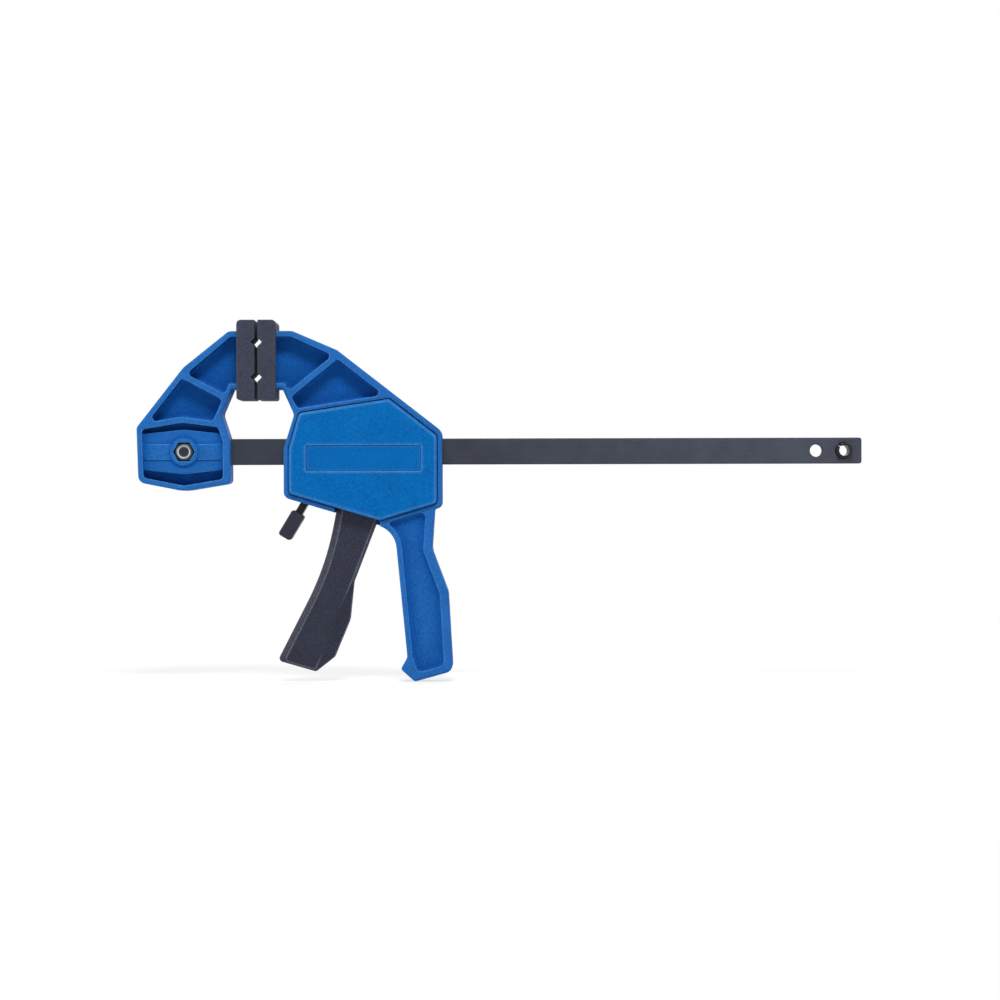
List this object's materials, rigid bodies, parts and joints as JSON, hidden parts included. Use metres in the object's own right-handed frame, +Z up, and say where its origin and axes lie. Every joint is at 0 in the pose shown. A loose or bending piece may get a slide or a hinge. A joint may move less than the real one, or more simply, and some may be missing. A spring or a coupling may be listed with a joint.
{
  "type": "bar clamp",
  "caption": "One-handed bar clamp: fixed jaw bolted to a flat steel bar, sliding carriage with squeeze trigger, pistol grip and release lever, soft jaw pads.",
  "frame": {"origin": "centre of the fixed pad's gripping face", "axes": "+X along the bar towards its free end, +Y across the clamp away from the side with the cover, +Z up, away from the grip"},
  "size_m": [0.5547, 0.035, 0.276],
  "materials": {
    "blue_plastic": "finely textured blue moulding",
    "black_plastic": "textured black moulding",
    "grey_rubber": "matt soft moulding",
    "black_steel": "blackened",
    "zinc_steel": "bright zinc",
    "bare_steel": "oiled"
  },
  "bodies": {
    "bar_frame": {"bar": "black_steel", "fixed_jaw": "blue_plastic", "fixed_pad": "grey_rubber", "jaw_bolt": "zinc_steel", "bolt_washer": "zinc_steel", "jaw_nut": "zinc_steel", "nut_insert": "black_plastic", "stop_pin": "black_steel"},
    "carriage": {"carriage_housing": "blue_plastic", "carriage_cover": "blue_plastic", "cover_screws": "zinc_steel", "moving_pad": "grey_rubber", "trigger_pin": "bare_steel", "drive_spring": "bare_steel", "brake_spring": "bare_steel"},
    "trigger": {"trigger": "black_plastic"},
    "drive": {"drive_plate_front": "bare_steel", "drive_plate_rear": "bare_steel"},
    "brake": {"brake_lever": "black_steel", "release_grip": "black_plastic"}
  },
  "joints": [
    {"name": "carriage_slide", "type": "slide", "parent": "bar_frame", "child": "carriage", "axis": [1, 0, 0], "range_m": [-0.002, 0.301]},
    {"name": "trigger_squeeze", "type": "hinge", "parent": "carriage", "child": "trigger", "pos_m": [0.0776, 0, -0.048], "axis": [0, -1, 0], "range_deg": [0, 13], "stiffness_Nm_per_rad": 0.4, "springref_deg": -17.19},
    {"name": "drive_slide", "type": "slide", "parent": "carriage", "child": "drive", "axis": [1, 0, 0], "range_m": [0, 0.006], "deforming": ["drive_spring"]},
    {"name": "brake_release", "type": "hinge", "parent": "carriage", "child": "brake", "pos_m": [0.0493, 0, -0.05], "axis": [0, -1, 0], "range_deg": [0, 6], "stiffness_Nm_per_rad": 0.4, "springref_deg": -17.19, "deforming": ["brake_spring"]}
  ],
  "couplings": [
    {"joint": "drive_slide", "follows": "trigger_squeeze", "m_per_rad": 0.026}
  ]
}
